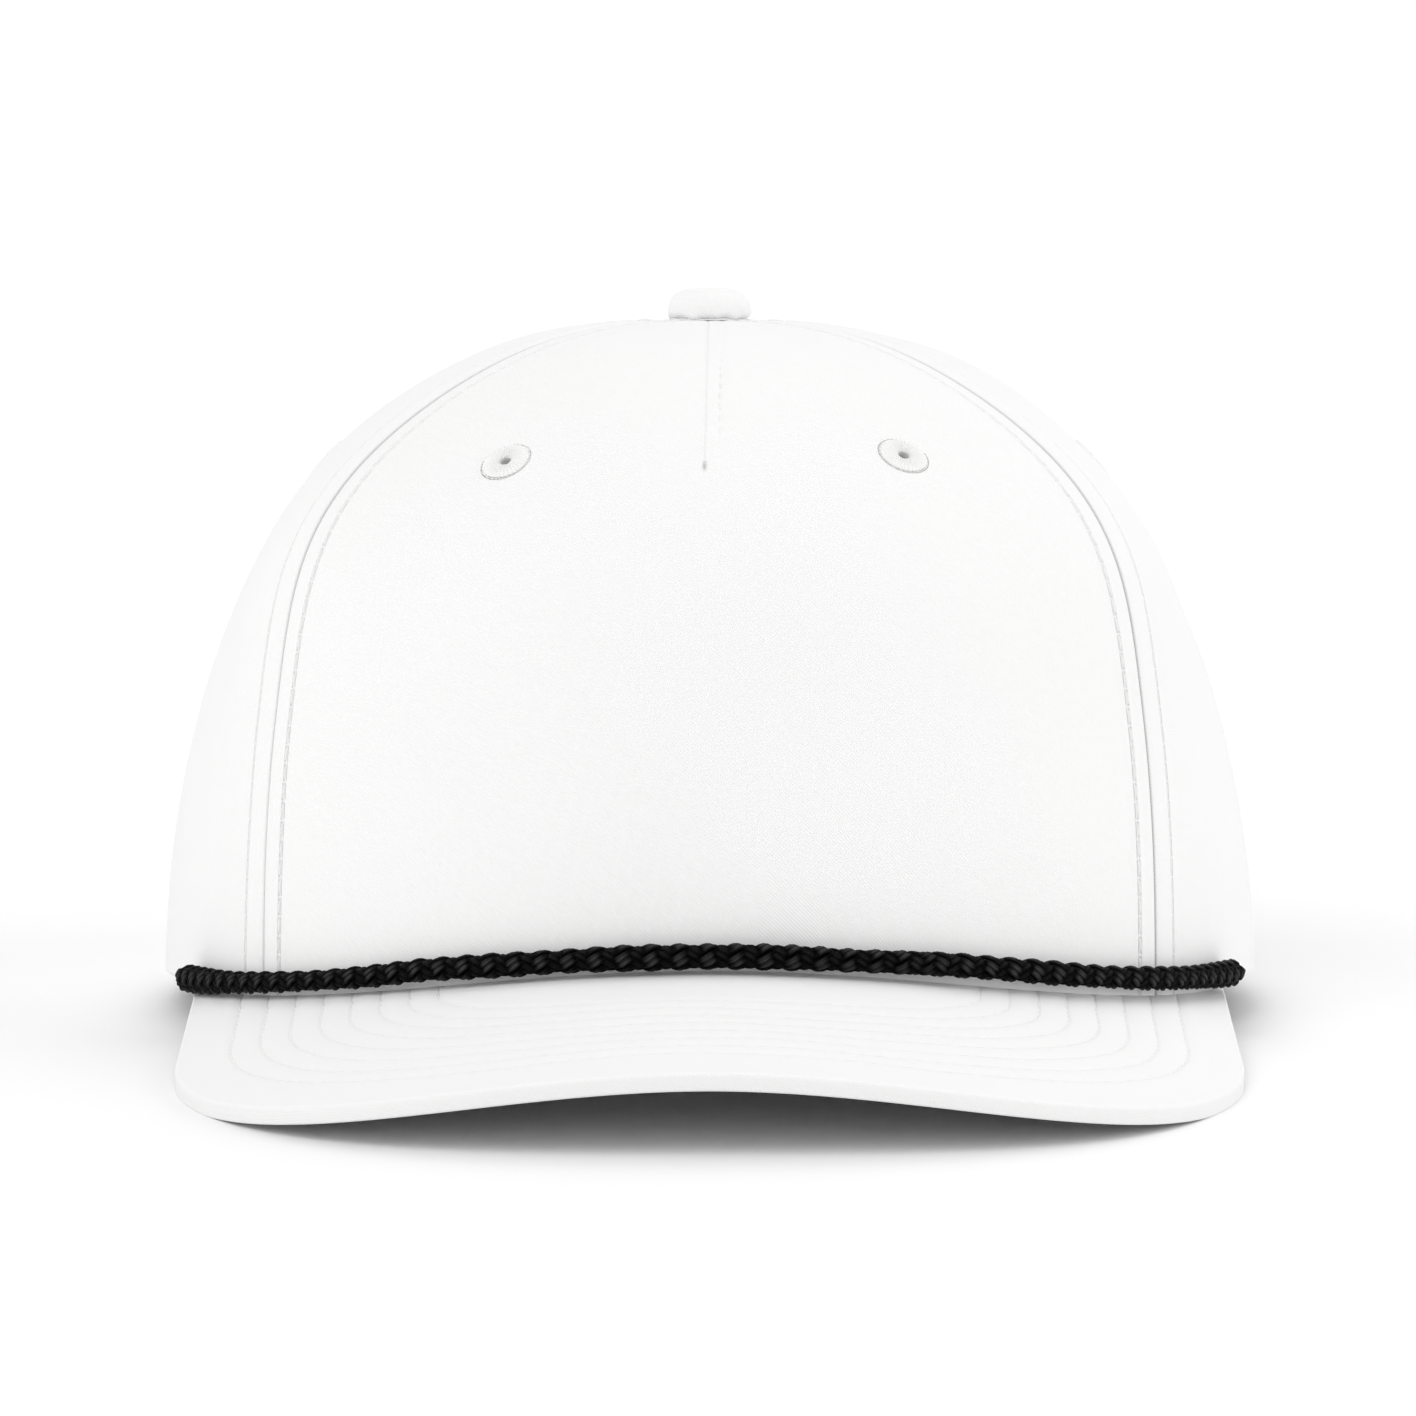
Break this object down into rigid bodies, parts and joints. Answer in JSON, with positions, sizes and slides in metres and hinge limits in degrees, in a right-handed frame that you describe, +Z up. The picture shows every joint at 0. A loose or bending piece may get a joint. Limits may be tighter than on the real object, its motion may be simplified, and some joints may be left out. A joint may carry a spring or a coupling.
{
  "type": "five-panel cap",
  "caption": "Structured cap with one wide front panel, a curved stitched brim, a braided rope along the brim seam and a strap over the half-moon back opening.",
  "frame": {"origin": "on the surface the cap rests on, under the middle of its bounding box", "axes": "+Z up; -Y to the front, where the brim points; +X to the wearer's left"},
  "size_m": [0.18, 0.264, 0.118],
  "materials": {
    "white_twill": "fine cotton twill, matt white",
    "white_thread": "sewn thread, slight sheen",
    "black_rope": "round braided cord, soft sheen",
    "white_sweatband": "brushed cotton band, matt",
    "white_plastic": "moulded, satin"
  },
  "bodies": {
    "root": {"front_panel": "white_twill", "side_panel_left": "white_twill", "side_panel_right": "white_twill", "back_panel_left": "white_twill", "back_panel_right": "white_twill", "brim": "white_twill", "button": "white_twill", "eyelet_front_left": "white_thread", "eyelet_front_right": "white_thread", "eyelet_side_left": "white_thread", "eyelet_side_right": "white_thread", "eyelet_back_left": "white_thread", "eyelet_back_right": "white_thread", "rope": "black_rope", "sweatband": "white_sweatband", "closure_strap": "white_plastic"}
  },
  "joints": []
}
